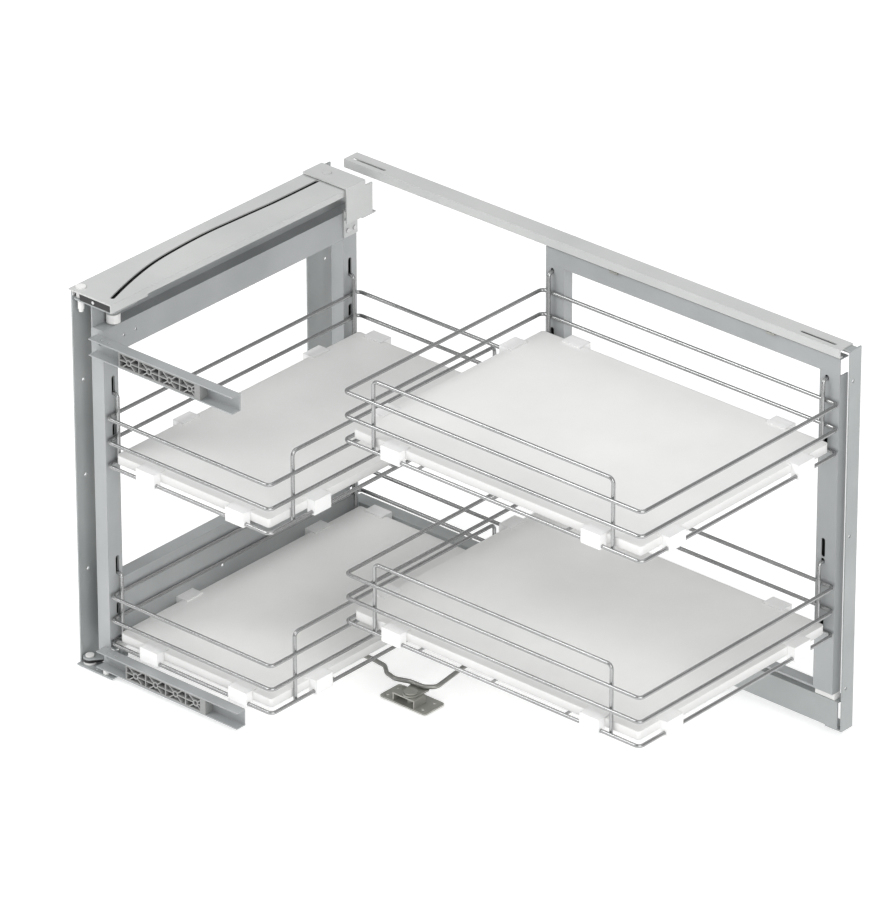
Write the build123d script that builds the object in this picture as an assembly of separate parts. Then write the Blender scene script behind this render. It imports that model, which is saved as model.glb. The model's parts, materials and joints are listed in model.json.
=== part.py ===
from build123d import *
import os

# Blind corner pull out: two baskets on a frame that pulls out of the opening
# and swings, and two baskets on a frame that slides across on rear rails.
# Millimetres. X runs along the cabinet, Y to its back, Z up.
# Sizes are measured from the cabinet's side wall, front edge and floor; each
# piece is moved at export so that the origin is the swing axis on the floor.

# sheet metal, wire and the clearances between pieces
SHEET = 2.0
THIN = 1.5
WIRE = 5.0
WIRE_BEND = 7.0
RUN = 0.05
NEAR = 0.3
WELD = 0.6

# side bracket on the wall
UPRIGHT_H = 524.0
FRONT_UP_Y = (8.0, 60.0)
REAR_UP_Y = (432.0, 477.0)
WALL_HOLE_Z = (128.6, 260.5, 392.4)
WALL_HOLE_R = 2.3
FRONT_HOLE_Y = 24.0
REAR_HOLE_Y = 466.0
BASE_RAIL_H = 22.0
FOOT_X = 60.0
FOOT_Y = (2.0, 26.0)
FOOT_HOLE = (28.2, 8.1)
PEG_AT = (45.3, 7.4)
PEG_R = 4.0

# swing axis with its two pins
AXIS_AT = (11.0, 14.0)
PIN_R = 4.0
PIN_HEAD_R = 6.5
COLLAR_R = 5.6
FOOT_COLLAR_R = 8.0

# top guide channel and its curved slot
CHANNEL_TOP = 525.7
CHANNEL_X = (2.0, 73.0)
CHANNEL_Y = (2.0, 448.0)
CHANNEL_DROP = 11.8
CHANNEL_STEP = 8.6
CHANNEL_STEP_Y = 67.0
SLOT_W = 6.0
SLOT_LINE = ((60.1, 18.8), (49.4, 50.4), (38.3, 89.2), (30.8, 124.4), (26.6, 163.0), (24.4, 199.7),
             (24.0, 234.9), (25.3, 268.0), (26.7, 301.4), (28.3, 334.9), (28.8, 369.3), (28.6, 422.6))
END_BLOCK_X = (18.5, 71.0)
END_BLOCK_Y = (4.0, 40.0)

# swivel heads
ARM_TOP_Z = 511.0
ARM_LOW_Z = 9.4
ARM_R = 8.5
ROLLER_AT = (36.0, 44.0)
ROLLER_R = 9.0
INNER_AT = (19.5, 30.0)
INNER_R = 4.2
ROLLER_PIN_R = 2.5
ROLLER_TOP_Z = (476.0, 488.0)
INNER_TOP_Z = (476.5, 496.0)
ROLLER_LOW_Z = (26.0, 36.0)

# front frame
FRAME_X = (24.0, 44.0)
FRAME_Y = (17.0, 478.0)
POST_D = 25.0
LIP = 8.0
LEDGE_Z = 475.0
WEB_TOP = 510.0
FACE_TOP_Z = (437.5, LEDGE_Z - THIN)
FACE_LOW_Z = (46.0, 124.0)
WEB_LOW = 24.0
BAR_HOLES = ((53.8, 456.2), (75.1, 456.2), (28.0, 462.0), (38.0, 455.0))
LOW_HOLES = ((223.2, 66.6), (408.3, 66.6))
FRONT_SLOT_Y = (33.0, 465.0)
EXTRA_SLOT = (31.2, 14.2)

# door bars
BAR_X = (34.0, 272.0)
BAR_D = 15.6
BAR_H = 23.3
BAR_Z = (444.7, 9.0)
BLOCK_X = (84.0, 219.0)
BLOCK_RIB = 1.6

# carriage that hangs over the channel
CARR_Y = (424.0, 459.0)
CARR_X = (3.0, 77.0)
CARR_Z = 527.5
CARR_DROP_Z = 480.0
TAB_Y = (453.0, 478.0)
TAB_Z = (440.0, 467.0)
TAB_SCREWS = (459.5, 472.0)
TAB_SCREW_Z = 449.0
GUIDE_PIN_AT = (28.6, 441.0)

# baskets
FRONT_BASKET_X = (FRAME_X[1] + WIRE / 2, 315.9)
FRONT_BASKET_Y = (17.6, 477.9)
FRONT_TOP = (356.9, 106.9)
REAR_BASKET_X = (353.9, 823.5)
REAR_BASKET_Y = (111.9, 476.7)
REAR_TOP = (462.1, 212.1)
RAIL_STEP = 33.0
RAILS = 3
HOOK_UP = 27.6
GALLEY_UP = 27.0
GALLEY_IN = WIRE - WELD
CROSS_WIRE = 4.0
LEG_DOWN = 1.1
TRAY_T = 12.0
TRAY_GAP = 7.6
CLIP_L = 30.0
CLIP_OUT = 4.4
CLIP_OVER = 8.0
CLIP_UP = 1.8
CLIP_DOWN = 3.6

# rear frame
REAR_FACE_Y = REAR_BASKET_Y[1] + WIRE / 2
REAR_DEPTH = 15.8
REAR_POST_X = ((357.4, 386.9), (792.0, 822.6))
REAR_POST_Z = (60.5, 498.9)
REAR_BAR_TOP = 522.0
REAR_HOOK_X = (368.0, 803.0)
GLIDE_Z = 51.05

# rear rails, right end plate and hangers
RAIL_X = (26.0, 825.0)
RAIL_Y = (475.2, 500.1)
RAIL_Z = (525.0, 536.7)
RAIL_T = 1.6
RAIL_LIP = 4.2
RAIL_SLOTS = ((32.0, 88.0), (757.0, 813.0))
RAIL_SLOT_Y = 484.5
RAIL_SLOT_W = 4.4
HANGER_X = (469.5, 718.0)
WHEEL_R = 4.1
WHEEL_AXLE_R = 1.5
LOW_RAIL_X = (26.0, 828.0)
LOW_RAIL_Y = (482.8, 503.0)
LOW_RAIL_Z = (13.0, 51.0)
PLATE_X = (833.0, 835.0)
PLATE_Y = (483.0, 504.4)
PLATE_HOLE_Z = (70.0, 281.5, 493.0)
PLATE_HOLE_Y = 490.0
PLATE_FLANGE = 24.0

# floor pivot and bell crank lever
FLOOR_AT = (374.0, 210.0)
FLOOR_SIZE = (76.0, 38.0)
FLOOR_HOLES = ((-31.0, -10.5), (-31.0, 10.5), (27.5, -10.5), (27.5, 10.5))
FLOOR_HOLE_R = 2.6
CRANK_AT = (377.6, 204.0)
BRIDGE_Z = 13.0
CRANK_PIN_R = 5.0
HUB_Z = (13.3, 15.3)
ROD = 6.0
ROD_BEND = 11.0
ROD_LINE = ((177.0, 225.0), (287.0, 232.0), (312.0, 229.0), (326.0, 217.0), (342.5, 213.0), (361.8, 220.0),
            (383.7, 221.0), (396.0, 231.0), (387.6, 290.0), (388.0, 404.0))


def span(x, y, z):
    """Box between two limits on each axis."""
    size = (x[1] - x[0], y[1] - y[0], z[1] - z[0])
    middle = ((x[0] + x[1]) / 2, (y[0] + y[1]) / 2, (z[0] + z[1]) / 2)
    return Pos(*middle) * Box(*size)


def post(at, radius, z):
    """Upright cylinder between two heights."""
    return Pos(at[0], at[1], (z[0] + z[1]) / 2) * Cylinder(radius, z[1] - z[0])


def along_x(at, radius, x):
    """Cylinder along X through the point (y, z)."""
    return Pos((x[0] + x[1]) / 2, at[0], at[1]) * Rot(0, 90, 0) * Cylinder(radius, x[1] - x[0])


def along_y(at, radius, y):
    """Cylinder along Y through the point (x, z)."""
    return Pos(at[0], (y[0] + y[1]) / 2, at[1]) * Rot(90, 0, 0) * Cylinder(radius, y[1] - y[0])


def oblong_x(y, z, width, x):
    """Upright slot cut along X, rounded at both ends."""
    r = width / 2
    flat = span(x, (y - r, y + r), (z[0] + r, z[1] - r))
    return flat + along_x((y, z[0] + r), r, x) + along_x((y, z[1] - r), r, x)


def oblong_y(x, z, width, y):
    """Upright slot cut along Y, rounded at both ends."""
    r = width / 2
    flat = span((x - r, x + r), y, (z[0] + r, z[1] - r))
    return flat + along_y((x, z[0] + r), r, y) + along_y((x, z[1] - r), r, y)


def rod(points, diameter, bend):
    """Round wire bent along the points."""
    path = FilletPolyline(*points, radius=bend)
    return sweep(Plane(origin=path @ 0, z_dir=path % 0) * Circle(diameter / 2), path=path)


def ring(x, y, z):
    """Closed rectangular wire at one height."""
    corners = [(x[0], y[0], z), (x[1], y[0], z), (x[1], y[1], z), (x[0], y[1], z)]
    path = FilletPolyline(*corners, radius=WIRE_BEND, close=True)
    return sweep(Plane(origin=path @ 0, z_dir=path % 0) * Circle(WIRE / 2), path=path)


def hull_plate(circles, z):
    """Plate wrapped round a row of circles, joined by straight tangents."""
    outline = make_hull([e for at, r in circles for e in (Pos(*at) * Circle(r)).edges()])
    return extrude(Pos(0, 0, z[0]) * outline, amount=z[1] - z[0], dir=(0, 0, 1))


def side_upright_front():
    """Front wall strip with the foot that carries the lower pin."""
    strip = span((0, SHEET), FRONT_UP_Y, (0, UPRIGHT_H))
    foot = span((0, FOOT_X), FOOT_Y, (0, SHEET))
    for z in WALL_HOLE_Z:
        strip -= along_x((FRONT_HOLE_Y, z), WALL_HOLE_R, (-1, SHEET + 1))
    return strip + foot - post(FOOT_HOLE, WALL_HOLE_R, (-1, SHEET + 1))


def side_upright_rear():
    """Rear wall strip."""
    strip = span((0, SHEET), REAR_UP_Y, (0, UPRIGHT_H))
    for z in WALL_HOLE_Z:
        strip -= along_x((REAR_HOLE_Y, z), WALL_HOLE_R, (-1, SHEET + 1))
    return strip


def side_base_rail():
    """Angle that joins the feet of the two wall strips."""
    wall = span((0, SHEET), (FRONT_UP_Y[1], REAR_UP_Y[0]), (0, BASE_RAIL_H))
    return wall + span((0, BASE_RAIL_H / 2), (FRONT_UP_Y[1], REAR_UP_Y[0]), (0, SHEET))


def curved_slot(z):
    """Prism of the curved guide slot."""
    line = Spline(*[(x, y, z[0]) for x, y in SLOT_LINE])
    band = trace(line, line_width=SLOT_W)
    ends = [post(at, SLOT_W / 2, z) for at in (SLOT_LINE[0], SLOT_LINE[-1])]
    return extrude(band, amount=z[1] - z[0], dir=(0, 0, 1)) + ends


def top_guide_channel():
    """Box over the swivel head, open below, with the curved slot."""
    low = CHANNEL_TOP - CHANNEL_DROP
    step = CHANNEL_TOP - CHANNEL_STEP
    plate = span(CHANNEL_X, CHANNEL_Y, (CHANNEL_TOP - SHEET, CHANNEL_TOP))
    left = span((CHANNEL_X[0], CHANNEL_X[0] + THIN), FRONT_UP_Y, (low, CHANNEL_TOP))
    left += span((CHANNEL_X[0], CHANNEL_X[0] + THIN), (FRONT_UP_Y[1], CHANNEL_Y[1]), (step, CHANNEL_TOP))
    wall = (CHANNEL_X[1] - THIN, CHANNEL_X[1])
    right = span(wall, (CHANNEL_Y[0], CHANNEL_STEP_Y), (low, CHANNEL_TOP))
    right += span(wall, (CHANNEL_STEP_Y, CHANNEL_Y[1]), (step, CHANNEL_TOP))
    through = (CHANNEL_TOP - SHEET - 1, CHANNEL_TOP + 1)
    body = plate + left + right - curved_slot(through)
    return body - post(AXIS_AT, PIN_R + RUN, through)


def guide_end_block():
    """Plastic block in the mouth of the channel, with the start of the slot."""
    z = (CHANNEL_TOP - CHANNEL_DROP, CHANNEL_TOP - SHEET)
    return span(END_BLOCK_X, END_BLOCK_Y, z) - curved_slot((z[0] - 1, z[1] + 1))


def end_block_screw():
    """Screw head on the mouth of the channel."""
    return along_y((42.0, CHANNEL_TOP - 7), 2.2, (END_BLOCK_Y[0] - 1.6, END_BLOCK_Y[0]))


def swivel_pin_top():
    """Upper pin: head on the channel, collar inside it, plain end below."""
    shaft = post(AXIS_AT, PIN_R, (497, CHANNEL_TOP))
    head = post(AXIS_AT, PIN_HEAD_R, (CHANNEL_TOP, CHANNEL_TOP + 1.7))
    collar = post(AXIS_AT, COLLAR_R, (ARM_TOP_Z + SHEET + NEAR, CHANNEL_TOP - SHEET))
    return shaft + head + collar + post(AXIS_AT, PIN_R - 1, (493, 497))


def swivel_pin_bottom():
    """Lower pin on the foot, with a wide collar below and a head above."""
    top = ARM_LOW_Z + SHEET + NEAR
    shaft = post(AXIS_AT, PIN_R, (SHEET, top))
    return shaft + post(AXIS_AT, FOOT_COLLAR_R, (SHEET, 5)) + post(AXIS_AT, COLLAR_R, (top, top + 2.2))


def support_peg():
    """Peg on the foot that takes the closed lower door bar."""
    return post(PEG_AT, PEG_R, (SHEET, BAR_Z[1] - NEAR))


def swivel_arm(z, front):
    """Plate that turns on the pin and carries two roller pins."""
    circles = [(AXIS_AT, ARM_R), (INNER_AT, 6.0), (ROLLER_AT, ROLLER_R)]
    if front:
        circles += [((66.0, 11.5), 6.0), ((66.0, 46.0), 6.0)]
    return hull_plate(circles, z) - post(AXIS_AT, PIN_R + RUN, (z[0] - 1, z[1] + 1))


def swivel_arm_top():
    """Upper arm plate with the roller pins that hang from it."""
    plate = swivel_arm((ARM_TOP_Z, ARM_TOP_Z + SHEET), True)
    plate += post(ROLLER_AT, ROLLER_PIN_R, (ROLLER_TOP_Z[0], ARM_TOP_Z))
    return plate + post(INNER_AT, ROLLER_PIN_R, (INNER_TOP_Z[0], ARM_TOP_Z))


def swivel_arm_bottom():
    """Lower arm plate with the roller pins that stand on it."""
    top = ARM_LOW_Z + SHEET
    plate = swivel_arm((ARM_LOW_Z, top), False)
    plate += post(ROLLER_AT, ROLLER_PIN_R, (top, ROLLER_LOW_Z[1]))
    return plate + post(INNER_AT, ROLLER_PIN_R, (top, ROLLER_LOW_Z[1]))


def swivel_block_bottom():
    """Plastic washer block under the lower arm."""
    z = (5 + NEAR, ARM_LOW_Z)
    return hull_plate([(AXIS_AT, ARM_R), ((20.0, 24.0), 5.0)], z) - post(AXIS_AT, PIN_R + RUN, (z[0] - 1, z[1] + 1))


def roller(at, radius, z):
    """Plain roller with its bore."""
    return post(at, radius, z) - post(at, ROLLER_PIN_R + RUN, (z[0] - 1, z[1] + 1))


def guide_rollers():
    """The two pairs of rollers that hold the web of the frame."""
    upper = [roller(ROLLER_AT, ROLLER_R, ROLLER_TOP_Z), roller(INNER_AT, INNER_R, INNER_TOP_Z)]
    lower = [roller(ROLLER_AT, ROLLER_R, ROLLER_LOW_Z), roller(INNER_AT, INNER_R, ROLLER_LOW_Z)]
    return Compound(upper + lower)


def front_post(y, low, holes, foot):
    """Channel post with slots in its side face."""
    z = (FACE_LOW_Z[0], FACE_TOP_Z[1])
    face = (FRAME_X[1] - SHEET, FRAME_X[1])
    body = span(FRAME_X, (y, y + THIN), (low, z[1]))
    body += span(face, (y, y + POST_D), z)
    body += span((FRAME_X[1] - LIP, FRAME_X[1]), (y + POST_D - THIN, y + POST_D), z)
    for bottom, height in holes:
        body -= oblong_x(foot, (bottom, bottom + height), WIRE + 1, (face[0] - 1, face[1] + 1))
    return body


def hook_slots():
    """Bottoms and heights of the basket slots in a front post."""
    rows = []
    for top in FRONT_TOP:
        seat = top + HOOK_UP - WIRE / 2
        rows += [(seat, 26.0), (top - EXTRA_SLOT[0], 17.0)]
    return rows


def front_post_front():
    """Post next to the opening."""
    return front_post(FRAME_Y[0], WEB_LOW, hook_slots(), FRONT_SLOT_Y[0])


def front_post_rear():
    """Post at the back of the frame."""
    return front_post(FRAME_Y[1] - POST_D, FACE_LOW_Z[0], hook_slots(), FRONT_SLOT_Y[1])


def front_top_bar():
    """Z section bar: web between the rollers, ledge, and face between the posts."""
    between = (FRAME_Y[0] + POST_D, FRAME_Y[1] - POST_D)
    web = span((FRAME_X[0] + 0.5, FRAME_X[0] + 0.5 + SHEET), FRAME_Y, (LEDGE_Z, WEB_TOP))
    ledge = span((FRAME_X[0] + 0.5, FRAME_X[1]), FRAME_Y, (LEDGE_Z - THIN, LEDGE_Z))
    face = span((FRAME_X[1] - SHEET, FRAME_X[1]), between, FACE_TOP_Z)
    body = web + ledge + face
    for y, z in BAR_HOLES[:2]:
        body -= along_x((y, z), 1.9, (FRAME_X[1] - SHEET - 1, FRAME_X[1] + 1))
    return body


def front_bottom_bar():
    """Mirror section of the top bar, deeper, with two bolt holes."""
    between = (FRAME_Y[0] + POST_D, FRAME_Y[1] - POST_D)
    length = (FRAME_Y[0] + THIN, FRAME_Y[1])
    inner = FRAME_X[0] + 0.5
    web = span((inner, inner + SHEET), length, (WEB_LOW, FACE_LOW_Z[0] - SHEET))
    ledge = span((inner, FRAME_X[1]), length, (FACE_LOW_Z[0] - SHEET, FACE_LOW_Z[0]))
    face = span((FRAME_X[1] - SHEET, FRAME_X[1]), between, FACE_LOW_Z)
    shelf = span((inner, FRAME_X[1]), between, (FACE_LOW_Z[1] - SHEET, FACE_LOW_Z[1]))
    body = web + ledge + face + shelf
    for y, z in LOW_HOLES:
        body -= along_x((y, z), 2.5, (FRAME_X[1] - SHEET - 1, FRAME_X[1] + 1))
    return body


def guide_carriage():
    """Bracket over the channel, dropped outside it and screwed to the frame."""
    top = (CARR_Z, CARR_Z + SHEET + 0.5)
    body = span(CARR_X, CARR_Y, top)
    body += span((CARR_X[1] - SHEET, CARR_X[1]), CARR_Y, (CARR_DROP_Z, top[1]))
    body += span((CARR_X[1] - SHEET, CARR_X[1]), (CARR_Y[1], TAB_Y[1] - 6), (CARR_DROP_Z, top[1] - 8))
    shelf = (TAB_Z[1] - SHEET, TAB_Z[1])
    body += span((FRAME_X[1], CARR_X[1]), TAB_Y, (CARR_DROP_Z - SHEET, CARR_DROP_Z))
    body += span((FRAME_X[1], FRAME_X[1] + SHEET), TAB_Y, (TAB_Z[0], CARR_DROP_Z))
    body += span((CARR_X[1] - SHEET, CARR_X[1]), (TAB_Y[0], TAB_Y[1]), (CARR_DROP_Z - SHEET, CARR_DROP_Z))
    body += span((FRAME_X[1], FRAME_X[1] + 5), TAB_Y, shelf)
    return body - post(GUIDE_PIN_AT, 3.0 + RUN, (CARR_Z - 1, CARR_Z + 4))


def guide_pin():
    """Short pin in the carriage, above the curved slot."""
    top = CARR_Z + SHEET + 0.5
    return post(GUIDE_PIN_AT, 3.0, (CHANNEL_TOP + NEAR, top)) + post(GUIDE_PIN_AT, 5.5, (top, top + 1.6))


def carriage_screws():
    """Two screw heads on the carriage tab."""
    x = (FRAME_X[1] + SHEET, FRAME_X[1] + SHEET + 1.6)
    return Compound([along_x((y, TAB_SCREW_Z), 3.2, x) for y in TAB_SCREWS])


def door_bar(z0):
    """Channel that the door front is screwed to, open to the front."""
    y = (FRAME_Y[0] - BAR_D, FRAME_Y[0])
    z1 = z0 + BAR_H
    body = span(BAR_X, (y[1] - THIN, y[1]), (z0, z1))
    body += span(BAR_X, y, (z1 - THIN, z1))
    body += span(BAR_X, y, (z0, z0 + THIN))
    for x in (50.0, 62.0):
        body -= post((x, y[0] + 7), 1.8, (z1 - THIN - 1, z1 + 1))
    return body - along_y((40.0, z0 + BAR_H / 2), 2.2, (y[1] - THIN - 1, y[1] - 0.5))


def door_block(z0):
    """Ribbed adjusting block in the door bar."""
    y = (FRAME_Y[0] - BAR_D + 0.4, FRAME_Y[0] - THIN)
    z = (z0 + THIN, z0 + BAR_H - THIN)
    mid = (z[0] + z[1]) / 2
    length = BLOCK_X[1] - BLOCK_X[0]
    back = span(BLOCK_X, (y[1] - 2, y[1]), z)
    rim = span(BLOCK_X, y, z) - span((BLOCK_X[0] + 2, BLOCK_X[1] - 9), (y[0] - 1, y[1]), (z[0] + 2, z[1] - 2))
    ribs = back + rim
    for k in range(1, 4):
        x = BLOCK_X[0] + k * length / 4
        ribs += span((x - BLOCK_RIB / 2, x + BLOCK_RIB / 2), y, z)
    ribs += span(BLOCK_X, y, (mid - BLOCK_RIB / 2, mid + BLOCK_RIB / 2))
    for k in range(4):
        x = BLOCK_X[0] + (k + 0.5) * length / 4
        for turn in (-38, 38):
            ribs += Pos(x, (y[0] + y[1]) / 2, mid) * Rot(0, turn, 0) * Box(26.0, y[1] - y[0], BLOCK_RIB)
    ribs &= span(BLOCK_X, y, z)
    for k in range(4):
        x = BLOCK_X[0] + (k + 0.5) * length / 4
        ribs += along_y((x, mid), 4.6, y)
        ribs -= along_y((x, mid), 2.6, (y[0] - 1, y[1] - 2))
    return ribs


def tray(x, y, floor):
    """Flat tray with rounded corners, on the lowest wires."""
    inset_x = (x[0] + TRAY_GAP, x[1] - TRAY_GAP)
    inset_y = (y[0] + TRAY_GAP, y[1] - TRAY_GAP)
    body = span(inset_x, inset_y, (floor, floor + TRAY_T))
    return fillet(body.edges().filter_by(Axis.Z), 4.0)


def lowest(top):
    """Height of the lowest wire of a basket."""
    return top - (RAILS - 1) * RAIL_STEP


def front_basket(top):
    """Wire basket: three rails, a raised galley on +X, two hooks on -X."""
    x = FRONT_BASKET_X
    y = FRONT_BASKET_Y
    low = lowest(top)
    body = ring(x, y, low)
    for k in range(1, RAILS):
        body += ring(x, y, low + k * RAIL_STEP)
    gx = x[1] - GALLEY_IN
    up = top + GALLEY_UP
    foot = low - LEG_DOWN
    body += rod([(gx, 64.8, foot), (gx, 64.8, up), (gx, 435.8, up), (gx, 435.8, foot)], WIRE, WIRE_BEND)
    hx = x[0] + GALLEY_IN
    for hy in FRONT_SLOT_Y:
        body += rod([(hx, hy, foot), (hx, hy, top + HOOK_UP), (FRAME_X[1] - 6, hy, top + HOOK_UP)], WIRE, 5.0)
    for k in range(1, 4):
        cy = y[0] + k * (y[1] - y[0]) / 4
        body += along_x((cy, low + (WIRE - CROSS_WIRE) / 2), CROSS_WIRE / 2, x)
    return body


def rear_basket(top):
    """Wire basket: three rails, a raised galley on -Y, two hooks on +Y."""
    x = REAR_BASKET_X
    y = REAR_BASKET_Y
    low = lowest(top)
    body = ring(x, y, low)
    for k in range(1, RAILS):
        body += ring(x, y, low + k * RAIL_STEP)
    gy = y[0] + GALLEY_IN
    up = top + GALLEY_UP
    foot = low - LEG_DOWN
    body += rod([(397.5, gy, foot), (397.5, gy, up), (775.6, gy, up), (775.6, gy, foot)], WIRE, WIRE_BEND)
    hy = y[1] - GALLEY_IN
    for hx in REAR_HOOK_X:
        body += rod([(hx, hy, foot), (hx, hy, top + HOOK_UP), (hx, REAR_FACE_Y + 6, top + HOOK_UP)], WIRE, 5.0)
    for k in range(1, 4):
        cx = x[0] + k * (x[1] - x[0]) / 4
        body += along_y((cx, low + (WIRE - CROSS_WIRE) / 2), CROSS_WIRE / 2, y)
    return body


def clip_x(cx, y, inward, low):
    """Clip on a wire along X, reaching inward over the tray."""
    reach = y + inward * (TRAY_GAP + CLIP_OVER)
    outer = y - inward * CLIP_OUT
    block = span((cx - CLIP_L / 2, cx + CLIP_L / 2), sorted((reach, outer)),
                 (low - CLIP_DOWN, low + WIRE / 2 + TRAY_T + CLIP_UP))
    return block - along_x((y, low), WIRE / 2 + RUN, (cx - CLIP_L, cx + CLIP_L))


def clip_y(x, cy, inward, low, out):
    """Clip on a wire along Y, reaching inward over the tray."""
    reach = x + inward * (TRAY_GAP + CLIP_OVER)
    outer = x - inward * out
    block = span(sorted((reach, outer)), (cy - CLIP_L / 2, cy + CLIP_L / 2),
                 (low - CLIP_DOWN, low + WIRE / 2 + TRAY_T + CLIP_UP))
    return block - along_y((x, low), WIRE / 2 + RUN, (cy - CLIP_L, cy + CLIP_L))


def clips(x, y, low, on_x, on_y, out):
    """All clips of one basket, cut to the tray."""
    floor = low + WIRE / 2
    inset = (TRAY_GAP, -TRAY_GAP)
    seat = span([a + b for a, b in zip(x, inset)], [a + b for a, b in zip(y, inset)], (floor - 9, floor + TRAY_T))
    pieces = []
    for first, second in on_x:
        pieces.append(clip_x(first, y[0], 1, low) - seat)
        pieces.append(clip_x(second, y[1], -1, low) - seat)
    for first, second in on_y:
        pieces.append(clip_y(x[0], first, 1, low, out) - seat)
        pieces.append(clip_y(x[1], second, -1, low, CLIP_OUT) - seat)
    return Compound(pieces)


def front_clips(top):
    """Clips of a front basket."""
    return clips(FRONT_BASKET_X, FRONT_BASKET_Y, lowest(top), ((113.0, 83.0), (262.0, 262.0)),
                 ((152.0, 109.0), (391.0, 385.0)), WIRE / 2)


def rear_clips(top):
    """Clips of a rear basket."""
    return clips(REAR_BASKET_X, REAR_BASKET_Y, lowest(top), ((431.0, 414.0), (748.0, 740.0)),
                 ((180.0, 173.0), (416.0, 413.0)), CLIP_OUT)


def rear_post(x):
    """Channel post of the rear frame with slots for the basket hooks."""
    y = (REAR_FACE_Y, REAR_FACE_Y + REAR_DEPTH)
    body = span(x, (y[0], y[0] + THIN), REAR_POST_Z)
    body += span((x[1] - THIN, x[1]), y, REAR_POST_Z)
    body += span((x[0], x[0] + THIN), y, REAR_POST_Z)
    hook = min(REAR_HOOK_X, key=lambda h: abs(h - x[0]))
    for top in REAR_TOP:
        seat = top + HOOK_UP - WIRE / 2
        for bottom, height in ((seat, WIRE + 2.5), (top - 67.0, 18.0), (top + 34.0, 26.0)):
            if bottom + height < REAR_POST_Z[1]:
                body -= oblong_y(hook, (bottom, bottom + height), WIRE + 1, (y[0] - 1, y[0] + THIN + 1))
    return body


def rear_top_bar():
    """Top bar of the rear frame, an angle with its flange to the back."""
    x = (REAR_POST_X[0][0], REAR_POST_X[1][1])
    y = (REAR_FACE_Y, REAR_FACE_Y + REAR_DEPTH)
    body = span(x, (y[0], y[0] + THIN), (REAR_POST_Z[1], REAR_BAR_TOP))
    return body + span(x, y, (REAR_BAR_TOP - THIN, REAR_BAR_TOP))


def rear_bottom_bar():
    """Flat bar between the feet of the rear posts."""
    x = (REAR_POST_X[0][1], REAR_POST_X[1][0])
    return span(x, (REAR_FACE_Y, REAR_FACE_Y + REAR_DEPTH), (REAR_POST_Z[0], REAR_POST_Z[0] + 3))


def rear_glides():
    """Plastic feet of the rear frame on the lower rail."""
    y = (LOW_RAIL_Y[0] + 1, REAR_FACE_Y + REAR_DEPTH)
    pieces = [span(x, y, (GLIDE_Z, REAR_POST_Z[0])) for x in REAR_POST_X]
    return Compound(pieces)


def rear_hangers():
    """Two brackets that rise from the top bar into the rear top rail."""
    pieces = []
    for x in HANGER_X:
        foot = span((x - 6.2, x + 6.2), (RAIL_Y[0] - 0.7, REAR_FACE_Y + REAR_DEPTH), (REAR_BAR_TOP, REAR_BAR_TOP + 2.4))
        neck = span((x - 6.2, x + 6.2), (486, 489), (REAR_BAR_TOP, RAIL_Z[1] - RAIL_T - 0.4))
        axle = along_y((x, RAIL_Z[0] + RAIL_T + WHEEL_R + RUN), WHEEL_AXLE_R, (477.6, 497.4))
        pieces.append(foot + neck + axle)
    return Compound(pieces)


def hanger_wheels():
    """Wheels on both sides of each hanger, running on the lips of the rail."""
    pieces = []
    for x in HANGER_X:
        at = (x, RAIL_Z[0] + RAIL_T + WHEEL_R + RUN)
        for y in ((477.7, 485.9), (489.1, 497.3)):
            bore = along_y(at, WHEEL_AXLE_R + RUN, (y[0] - 1, y[1] + 1))
            pieces.append(along_y(at, WHEEL_R, y) - bore)
    return Compound(pieces)


def rear_top_rail():
    """Rail with two inner lips and long screw slots in its top."""
    body = span(RAIL_X, RAIL_Y, (RAIL_Z[1] - RAIL_T, RAIL_Z[1]))
    body += span(RAIL_X, (RAIL_Y[0], RAIL_Y[0] + RAIL_T), RAIL_Z)
    body += span(RAIL_X, (RAIL_Y[1] - RAIL_T, RAIL_Y[1]), RAIL_Z)
    body += span(RAIL_X, (RAIL_Y[0], RAIL_Y[0] + RAIL_T + RAIL_LIP), (RAIL_Z[0], RAIL_Z[0] + RAIL_T))
    body += span(RAIL_X, (RAIL_Y[1] - RAIL_T - RAIL_LIP, RAIL_Y[1]), (RAIL_Z[0], RAIL_Z[0] + RAIL_T))
    z = (RAIL_Z[1] - RAIL_T - 1, RAIL_Z[1] + 1)
    r = RAIL_SLOT_W / 2
    for x0, x1 in RAIL_SLOTS:
        body -= span((x0 + r, x1 - r), (RAIL_SLOT_Y - r, RAIL_SLOT_Y + r), z)
        body -= post((x0 + r, RAIL_SLOT_Y), r, z)
        body -= post((x1 - r, RAIL_SLOT_Y), r, z)
    return body


def rear_bottom_rail():
    """Lower rail: tall front face, top flange that the glides run on, foot."""
    face = (LOW_RAIL_Y[0], LOW_RAIL_Y[0] + SHEET)
    body = span(LOW_RAIL_X, face, LOW_RAIL_Z)
    body += span(LOW_RAIL_X, LOW_RAIL_Y, (LOW_RAIL_Z[1] - SHEET, LOW_RAIL_Z[1]))
    return body + span(LOW_RAIL_X, LOW_RAIL_Y, (LOW_RAIL_Z[0], LOW_RAIL_Z[0] + SHEET))


def right_side_plate():
    """End strip on the right wall with a flange under the top rail and a foot."""
    top = RAIL_Z[1] - RAIL_T
    bottom = LOW_RAIL_Z[0] - SHEET
    body = span(PLATE_X, PLATE_Y, (bottom, top))
    flange = (PLATE_X[0] - PLATE_FLANGE, PLATE_X[0])
    body += span(flange, (PLATE_Y[0], RAIL_Y[1] - RAIL_T - NEAR), (top - SHEET, top))
    body += span(flange, (PLATE_Y[0], LOW_RAIL_Y[1]), (bottom, bottom + SHEET))
    for z in PLATE_HOLE_Z:
        body -= along_x((PLATE_HOLE_Y, z), WALL_HOLE_R, (PLATE_X[0] - 1, PLATE_X[1] + 1))
    return body


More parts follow.
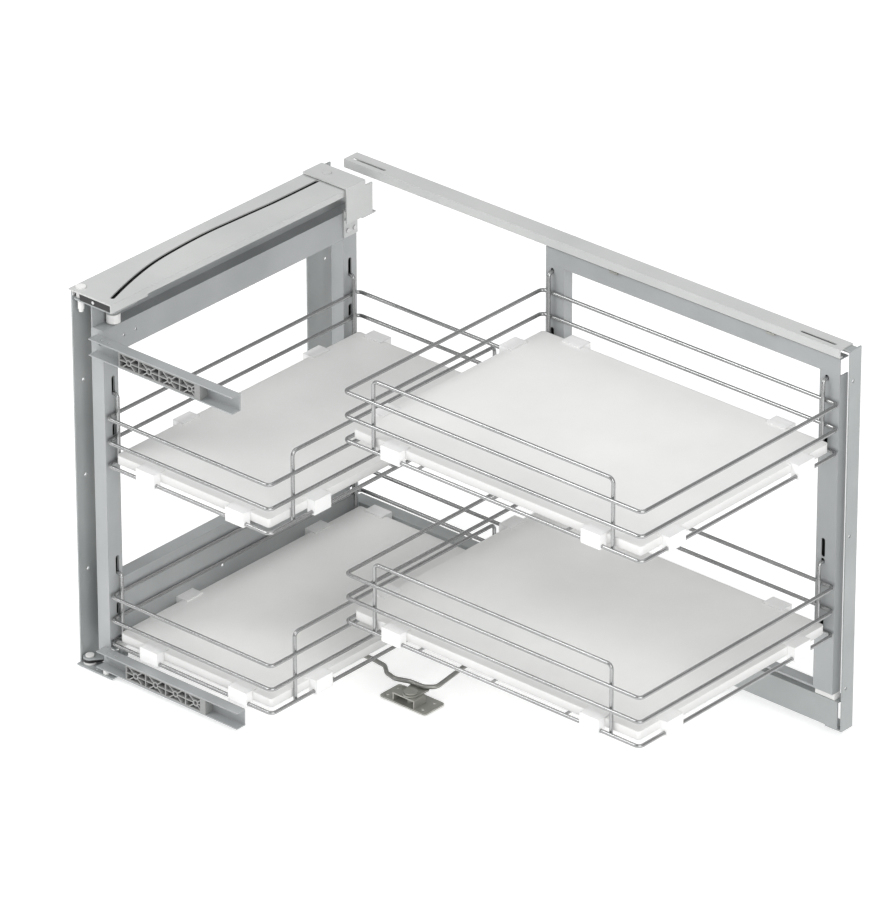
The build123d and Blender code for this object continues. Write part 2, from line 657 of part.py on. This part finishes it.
def floor_pivot_plate():
    """Base plate on the cabinet floor with four screw holes."""
    body = Pos(FLOOR_AT[0], FLOOR_AT[1], SHEET / 2) * Box(FLOOR_SIZE[0], FLOOR_SIZE[1], SHEET)
    body = fillet(body.edges().filter_by(Axis.Z), 4.0)
    for dx, dy in FLOOR_HOLES:
        body -= post((FLOOR_AT[0] + dx, FLOOR_AT[1] + dy), FLOOR_HOLE_R, (-1, SHEET + 1))
    return body


def floor_pivot_bridge():
    """Raised strap that carries the crank pin."""
    y = (CRANK_AT[1] - 11, CRANK_AT[1] + 11)
    x = (CRANK_AT[0] - 21, CRANK_AT[0] + 15)
    body = span(x, y, (BRIDGE_Z - SHEET, BRIDGE_Z))
    body += span((x[0], x[0] + SHEET), y, (SHEET, BRIDGE_Z))
    body += span((x[1] - SHEET, x[1]), y, (SHEET, BRIDGE_Z))
    return body - post(CRANK_AT, CRANK_PIN_R + RUN, (BRIDGE_Z - SHEET - 1, BRIDGE_Z + 1))


def floor_pivot_pin():
    """Crank pin from the base plate to a flat head."""
    top = HUB_Z[1] + NEAR
    return post(CRANK_AT, CRANK_PIN_R, (SHEET, top)) + post(CRANK_AT, 9.0, (top, top + 2))


def lever_hub():
    """Plate that turns on the crank pin and holds the rod."""
    body = hull_plate([(CRANK_AT, 11.0), ((368.0, 221.5), 5.0), ((385.0, 222.5), 5.0)], HUB_Z)
    return body - post(CRANK_AT, CRANK_PIN_R + RUN, (HUB_Z[0] - 1, HUB_Z[1] + 1))


def lever_rod():
    """Bent rod with two arms."""
    z = HUB_Z[1] + ROD / 2
    return rod([(x, y, z) for x, y in ROD_LINE], ROD, ROD_BEND)


PIECES = {
    "side_upright_front": side_upright_front,
    "side_upright_rear": side_upright_rear,
    "side_base_rail": side_base_rail,
    "top_guide_channel": top_guide_channel,
    "guide_end_block": guide_end_block,
    "end_block_screw": end_block_screw,
    "swivel_pin_top": swivel_pin_top,
    "swivel_pin_bottom": swivel_pin_bottom,
    "support_peg": support_peg,
    "rear_top_rail": rear_top_rail,
    "rear_bottom_rail": rear_bottom_rail,
    "right_side_plate": right_side_plate,
    "floor_pivot_plate": floor_pivot_plate,
    "floor_pivot_bridge": floor_pivot_bridge,
    "floor_pivot_pin": floor_pivot_pin,
    "swivel_arm_top": swivel_arm_top,
    "swivel_arm_bottom": swivel_arm_bottom,
    "swivel_block_bottom": swivel_block_bottom,
    "guide_rollers": guide_rollers,
    "front_post_front": front_post_front,
    "front_post_rear": front_post_rear,
    "front_top_bar": front_top_bar,
    "front_bottom_bar": front_bottom_bar,
    "guide_carriage": guide_carriage,
    "guide_pin": guide_pin,
    "carriage_screws": carriage_screws,
    "door_bar_upper": lambda: door_bar(BAR_Z[0]),
    "door_bar_lower": lambda: door_bar(BAR_Z[1]),
    "door_block_upper": lambda: door_block(BAR_Z[0]),
    "door_block_lower": lambda: door_block(BAR_Z[1]),
    "front_basket_upper": lambda: Pos(0, 0, FRONT_TOP[0] - FRONT_TOP[1]) * front_basket(FRONT_TOP[1]),
    "front_basket_lower": lambda: front_basket(FRONT_TOP[1]),
    "front_tray_upper": lambda: tray(FRONT_BASKET_X, FRONT_BASKET_Y, lowest(FRONT_TOP[0]) + WIRE / 2),
    "front_tray_lower": lambda: tray(FRONT_BASKET_X, FRONT_BASKET_Y, lowest(FRONT_TOP[1]) + WIRE / 2),
    "front_clips_upper": lambda: front_clips(FRONT_TOP[0]),
    "front_clips_lower": lambda: front_clips(FRONT_TOP[1]),
    "rear_post_left": lambda: rear_post(REAR_POST_X[0]),
    "rear_post_right": lambda: rear_post(REAR_POST_X[1]),
    "rear_top_bar": rear_top_bar,
    "rear_bottom_bar": rear_bottom_bar,
    "rear_glides": rear_glides,
    "rear_hangers": rear_hangers,
    "hanger_wheels": hanger_wheels,
    "rear_basket_upper": lambda: Pos(0, 0, REAR_TOP[0] - REAR_TOP[1]) * rear_basket(REAR_TOP[1]),
    "rear_basket_lower": lambda: rear_basket(REAR_TOP[1]),
    "rear_tray_upper": lambda: tray(REAR_BASKET_X, REAR_BASKET_Y, lowest(REAR_TOP[0]) + WIRE / 2),
    "rear_tray_lower": lambda: tray(REAR_BASKET_X, REAR_BASKET_Y, lowest(REAR_TOP[1]) + WIRE / 2),
    "rear_clips_upper": lambda: rear_clips(REAR_TOP[0]),
    "rear_clips_lower": lambda: rear_clips(REAR_TOP[1]),
    "lever_hub": lever_hub,
    "lever_rod": lever_rod,
}

os.makedirs("parts", exist_ok=True)
for name, make in PIECES.items():
    shape = Pos(-AXIS_AT[0], -AXIS_AT[1], 0) * make()
    shape.label = name
    export_step(shape, f"parts/{name}.step")
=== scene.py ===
import json
import math

import bpy
from mathutils import Matrix, Vector


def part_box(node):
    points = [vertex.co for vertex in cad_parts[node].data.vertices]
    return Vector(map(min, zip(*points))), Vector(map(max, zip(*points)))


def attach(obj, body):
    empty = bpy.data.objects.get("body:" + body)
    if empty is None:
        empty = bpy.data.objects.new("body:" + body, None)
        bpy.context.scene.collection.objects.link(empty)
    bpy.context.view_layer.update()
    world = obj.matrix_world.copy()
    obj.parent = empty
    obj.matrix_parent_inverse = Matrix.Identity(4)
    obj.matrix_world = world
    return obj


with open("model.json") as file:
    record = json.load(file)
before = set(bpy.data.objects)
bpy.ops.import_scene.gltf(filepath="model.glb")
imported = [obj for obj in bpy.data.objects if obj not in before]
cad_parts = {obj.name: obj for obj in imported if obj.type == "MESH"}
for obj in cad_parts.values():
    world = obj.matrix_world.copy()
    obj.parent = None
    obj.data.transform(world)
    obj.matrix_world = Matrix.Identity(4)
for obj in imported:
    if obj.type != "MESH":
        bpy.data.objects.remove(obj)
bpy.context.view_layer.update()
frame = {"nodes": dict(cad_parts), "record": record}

# what all surfaces share; lengths are in metres
CLOUD_SCALE = 9.0
SPECK_SHARE = 0.25
SPECK_DARK = 0.82
ROUGH_BELOW = 0.06
ROUGH_ABOVE = 0.08
ROUGH_LEAST = 0.03
COAT_ROUGH = 0.2
RELIEF = 0.0004

# darkest and lightest colour, roughness, metal, grain and strength of the relief;
# edge is the radius over which edges look softened, 0.0006 where none is given
FINISHES = {
    "galvanised_sheet": dict(
        low=(0.34, 0.36, 0.36), high=(0.42, 0.44, 0.44), rough=0.42, metal=0.2, grain=900, bump=0.06,
    ),
    "channel_coat": dict(
        low=(0.55, 0.56, 0.555), high=(0.62, 0.63, 0.62), rough=0.45, metal=0.1, grain=1400, bump=0.05,
    ),
    "frame_coat": dict(
        low=(0.36, 0.375, 0.38), high=(0.43, 0.445, 0.45), rough=0.40, metal=0.15, grain=1400, bump=0.05,
    ),
    "pivot_steel": dict(
        low=(0.33, 0.33, 0.30), high=(0.44, 0.44, 0.41), rough=0.34, metal=0.6, grain=700, bump=0.12,
    ),
    "rod_steel": dict(
        low=(0.26, 0.26, 0.25), high=(0.36, 0.36, 0.34), rough=0.3, metal=0.85, grain=500, bump=0.08,
        stretch=(1, 1, 8),
    ),
    "screw_steel": dict(
        low=(0.5, 0.5, 0.5), high=(0.66, 0.66, 0.66), rough=0.25, metal=0.9, grain=900, bump=0.08,
    ),
    "wire_chrome": dict(
        low=(0.33, 0.333, 0.335), high=(0.42, 0.423, 0.425), rough=0.24, metal=0.85, grain=500, bump=0.03,
        edge=0.0001,
    ),
    "tray_white": dict(
        low=(0.80, 0.80, 0.79), high=(0.85, 0.85, 0.84), rough=0.34, metal=0.0, grain=1800, bump=0.03,
        edge=0.001, coat=0.15,
    ),
    "clip_white": dict(
        low=(0.84, 0.845, 0.84), high=(0.90, 0.90, 0.895), rough=0.35, metal=0.0, grain=1100, bump=0.05,
        edge=0.0016, coat=0.2,
    ),
    "nylon_white": dict(
        low=(0.78, 0.78, 0.765), high=(0.88, 0.88, 0.87), rough=0.38, metal=0.0, grain=1100, bump=0.05,
        edge=0.0008,
    ),
    "block_grey": dict(
        low=(0.23, 0.235, 0.23), high=(0.31, 0.315, 0.31), rough=0.45, metal=0.0, grain=1600, bump=0.1,
        edge=0.0004,
    ),
    "block_black": dict(
        low=(0.008, 0.008, 0.008), high=(0.02, 0.02, 0.02), rough=0.4, metal=0.0, grain=1500, bump=0.1,
        edge=0.0004,
    ),
}

# black strip that paints the shade inside the channel: its distance from the sides, from the end block
# and from the rear end, and how far its top and underside lie below the channel's top
SHADE_STRIP_SIDE = 0.002
SHADE_STRIP_FRONT = 0.0003
SHADE_STRIP_REAR = 0.001
SHADE_STRIP_TOP = 0.0035
SHADE_STRIP_UNDER = 0.0078

# black inner plates that paint the shade inside the posts: their distance from the posts' sides, the two
# faces of a plate measured from the post's low side, and the distance from the ends
INNER_SIDE = 0.0022
FRONT_INNER = (0.0128, 0.0133)
FRONT_INNER_FOOT = 0.030
FRONT_INNER_TOP = 0.001
REAR_INNER = (0.0068, 0.0073)
REAR_INNER_END = 0.002

# the room
FLOOR_HALF = 12.0
FLOOR_Z = -0.002
FLOOR_COLOUR = (0.93, 0.93, 0.93)
FLOOR_MOTTLE = 0.985
FLOOR_GLOW = 0.4
WORLD_STRENGTH = 0.46
CENTRE = (0.41, 0.24, 0.26)

# camera fitted to the photograph's straight edges: ANCHOR is seen at the pixel ANCHOR_PX
PHOTO_PX = (891, 900)
FOCAL_PX = 8103.6
SENSOR_MM = 36.0
AZIMUTH = math.radians(41.5)
ELEVATION = math.radians(27.8)
ROLL = math.radians(-0.1)
ANCHOR_PX = (107.0, 418.0)
ANCHOR = Vector((0.0359, 0.0036, 0.3569))
DISTANCE = 9.9214941

# faces of a box whose corners run along x first, then y, then z
BOX_FACES = [(0, 2, 3, 1), (4, 5, 7, 6), (0, 1, 5, 4), (2, 6, 7, 3), (0, 4, 6, 2), (1, 3, 7, 5)]


def node(tree, kind, **values):
    """Shader node with its named inputs set."""
    made = tree.nodes.new(kind)
    for key, value in values.items():
        made.inputs[key.replace("_", " ")].default_value = value
    return made


def ramp(tree, low, high, low_at=0.3, high_at=0.7):
    """Two-stop colour ramp."""
    made = tree.nodes.new("ShaderNodeValToRGB")
    made.color_ramp.elements[0].position = low_at
    made.color_ramp.elements[0].color = (*low, 1)
    made.color_ramp.elements[1].position = high_at
    made.color_ramp.elements[1].color = (*high, 1)
    return made


def surface(name, low, high, rough, metal, grain, bump, edge=0.0006, stretch=(1, 1, 1), coat=0.0):
    """Procedural surface: mottled colour, uneven roughness, fine bump, softened edges."""
    material = bpy.data.materials.new(name)
    material.use_nodes = True
    tree = material.node_tree
    link = tree.links.new
    bsdf = tree.nodes["Principled BSDF"]
    bsdf.inputs["Metallic"].default_value = metal
    bsdf.inputs["Coat Weight"].default_value = coat
    bsdf.inputs["Coat Roughness"].default_value = COAT_ROUGH

    coords = tree.nodes.new("ShaderNodeTexCoord")
    scale = node(tree, "ShaderNodeMapping", Scale=stretch)
    link(coords.outputs["Object"], scale.inputs["Vector"])
    cloud = node(tree, "ShaderNodeTexNoise", Scale=CLOUD_SCALE, Detail=4.0, Roughness=0.55)
    link(coords.outputs["Object"], cloud.inputs["Vector"])
    colour = ramp(tree, low, high)
    link(cloud.outputs["Fac"], colour.inputs["Fac"])
    fine = node(tree, "ShaderNodeTexNoise", Scale=grain, Detail=5.0, Roughness=0.6)
    link(scale.outputs["Vector"], fine.inputs["Vector"])

    mix = tree.nodes.new("ShaderNodeMix")
    mix.data_type = "RGBA"
    mix.blend_type = "MULTIPLY"
    mix.inputs["Factor"].default_value = SPECK_SHARE
    speck = ramp(tree, (SPECK_DARK, SPECK_DARK, SPECK_DARK), (1, 1, 1), 0.35, 0.65)
    link(fine.outputs["Fac"], speck.inputs["Fac"])
    link(colour.outputs["Color"], mix.inputs["A"])
    link(speck.outputs["Color"], mix.inputs["B"])
    link(mix.outputs["Result"], bsdf.inputs["Base Color"])

    least = max(rough - ROUGH_BELOW, ROUGH_LEAST)
    spread = node(tree, "ShaderNodeMapRange", To_Min=least, To_Max=rough + ROUGH_ABOVE)
    link(fine.outputs["Fac"], spread.inputs["Value"])
    link(spread.outputs["Result"], bsdf.inputs["Roughness"])

    soft = tree.nodes.new("ShaderNodeBevel")
    soft.samples = 4
    soft.inputs["Radius"].default_value = edge
    relief = node(tree, "ShaderNodeBump", Strength=bump, Distance=RELIEF)
    link(fine.outputs["Fac"], relief.inputs["Height"])
    link(soft.outputs["Normal"], relief.inputs["Normal"])
    link(relief.outputs["Normal"], bsdf.inputs["Normal"])
    return material


def plate(name, low, high, body, slot):
    """Thin inner piece between two corners, in metres; the black pieces of painted shade are built with
    it.
    """
    mesh = bpy.data.meshes.new(name)
    corners = [
        (x, y, z)
        for z in (low[2], high[2])
        for y in (low[1], high[1])
        for x in (low[0], high[0])
    ]
    mesh.from_pydata(corners, [], BOX_FACES)
    piece = bpy.data.objects.new(name, mesh)
    bpy.context.scene.collection.objects.link(piece)
    mesh.materials.append(MATERIALS[slot])
    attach(piece, body)


def softbox(name, at, target, size, power):
    """Square area light aimed at a point."""
    data = bpy.data.lights.new(name, "AREA")
    data.shape = "SQUARE"
    data.size = size
    data.energy = power
    lamp = bpy.data.objects.new(name, data)
    bpy.context.scene.collection.objects.link(lamp)
    lamp.location = at
    lamp.rotation_euler = (Vector(target) - Vector(at)).to_track_quat("-Z", "Y").to_euler()


MATERIALS = {name: surface(name, **finish) for name, finish in FINISHES.items()}

for part in frame["record"]["subparts"]:
    piece = frame["nodes"][part["node"]]
    piece.data.materials.clear()
    piece.data.materials.append(MATERIALS[part["material_slot"]])
    for face in piece.data.polygons:
        face.material_index = 0

# the pin under the carriage ends flush, in the finish of the channel and carriage
frame["nodes"]["guide_pin"].data.materials[0] = MATERIALS["channel_coat"]

# painted shade: black strip inside the channel that stands in for the shadow seen through the curved slot
lo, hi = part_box("top_guide_channel")
END_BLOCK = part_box("guide_end_block")[1]
plate(
    "channel_shade_strip",
    (lo.x + SHADE_STRIP_SIDE, END_BLOCK.y + SHADE_STRIP_FRONT, hi.z - SHADE_STRIP_UNDER),
    (hi.x - SHADE_STRIP_SIDE, hi.y - SHADE_STRIP_REAR, hi.z - SHADE_STRIP_TOP),
    "cabinet_side",
    "block_black",
)

# painted shade: black plates behind the slots of the four posts stand in for the shadow inside them
for name in ("front_post_front", "front_post_rear"):
    lo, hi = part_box(name)
    plate(
        name + "_inner_shade",
        (lo.x + FRONT_INNER[0], lo.y + INNER_SIDE, lo.z + FRONT_INNER_FOOT),
        (lo.x + FRONT_INNER[1], hi.y - INNER_SIDE, hi.z - FRONT_INNER_TOP),
        "front_frame",
        "block_black",
    )
for name in ("rear_post_left", "rear_post_right"):
    lo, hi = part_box(name)
    plate(
        name + "_inner_shade",
        (lo.x + INNER_SIDE, lo.y + REAR_INNER[0], lo.z + REAR_INNER_END),
        (hi.x - INNER_SIDE, lo.y + REAR_INNER[1], hi.z - REAR_INNER_END),
        "rear_frame",
        "block_black",
    )

# pale floor that glows faintly, so that it stays near white
floor_mesh = bpy.data.meshes.new("floor")
floor_corners = [
    (-FLOOR_HALF, -FLOOR_HALF, FLOOR_Z),
    (FLOOR_HALF, -FLOOR_HALF, FLOOR_Z),
    (FLOOR_HALF, FLOOR_HALF, FLOOR_Z),
    (-FLOOR_HALF, FLOOR_HALF, FLOOR_Z),
]
floor_mesh.from_pydata(floor_corners, [], [(0, 1, 2, 3)])
floor = bpy.data.objects.new("floor", floor_mesh)
bpy.context.scene.collection.objects.link(floor)
floor_low = tuple(c * FLOOR_MOTTLE for c in FLOOR_COLOUR)
floor_pale = surface("floor_pale", floor_low, FLOOR_COLOUR, 0.8, 0.0, 40, 0.0, edge=0.0)
floor_bsdf = floor_pale.node_tree.nodes["Principled BSDF"]
floor_bsdf.inputs["Emission Color"].default_value = (1, 1, 1, 1)
floor_bsdf.inputs["Emission Strength"].default_value = FLOOR_GLOW
floor.data.materials.append(floor_pale)

softbox("key", (-1.2, -1.9, 2.9), CENTRE, size=1.8, power=58)
softbox("fill", (2.9, -1.2, 1.7), CENTRE, size=2.2, power=52)
softbox("top", (0.5, 0.8, 3.4), CENTRE, size=2.4, power=20)

world = bpy.data.worlds.new("studio")
world.use_nodes = True
world.node_tree.nodes["Background"].inputs["Color"].default_value = (1, 1, 1, 1)
world.node_tree.nodes["Background"].inputs["Strength"].default_value = WORLD_STRENGTH
bpy.context.scene.world = world
bpy.context.scene.view_settings.view_transform = "Standard"

right = Vector((math.cos(AZIMUTH), math.sin(AZIMUTH), 0))
back = Vector((
    math.sin(AZIMUTH) * math.cos(ELEVATION),
    -math.cos(AZIMUTH) * math.cos(ELEVATION),
    math.sin(ELEVATION),
))
up = back.cross(right)
rolled_right = right * math.cos(ROLL) + up * math.sin(ROLL)
rolled_up = up * math.cos(ROLL) - right * math.sin(ROLL)
off_x = -(ANCHOR_PX[0] - PHOTO_PX[0] / 2) * DISTANCE / FOCAL_PX
off_y = -(PHOTO_PX[1] / 2 - ANCHOR_PX[1]) * DISTANCE / FOCAL_PX
place = ANCHOR + rolled_right * off_x + rolled_up * off_y + back * DISTANCE
cam_data = bpy.data.cameras.new("camera")
cam_data.sensor_width = SENSOR_MM
cam_data.lens = FOCAL_PX / PHOTO_PX[1] * SENSOR_MM
cam_data.clip_end = 60
camera = bpy.data.objects.new("camera", cam_data)
bpy.context.scene.collection.objects.link(camera)
turn = Matrix((rolled_right, rolled_up, back)).transposed()
camera.matrix_world = Matrix.Translation(place) @ turn.to_4x4()
bpy.context.scene.camera = camera
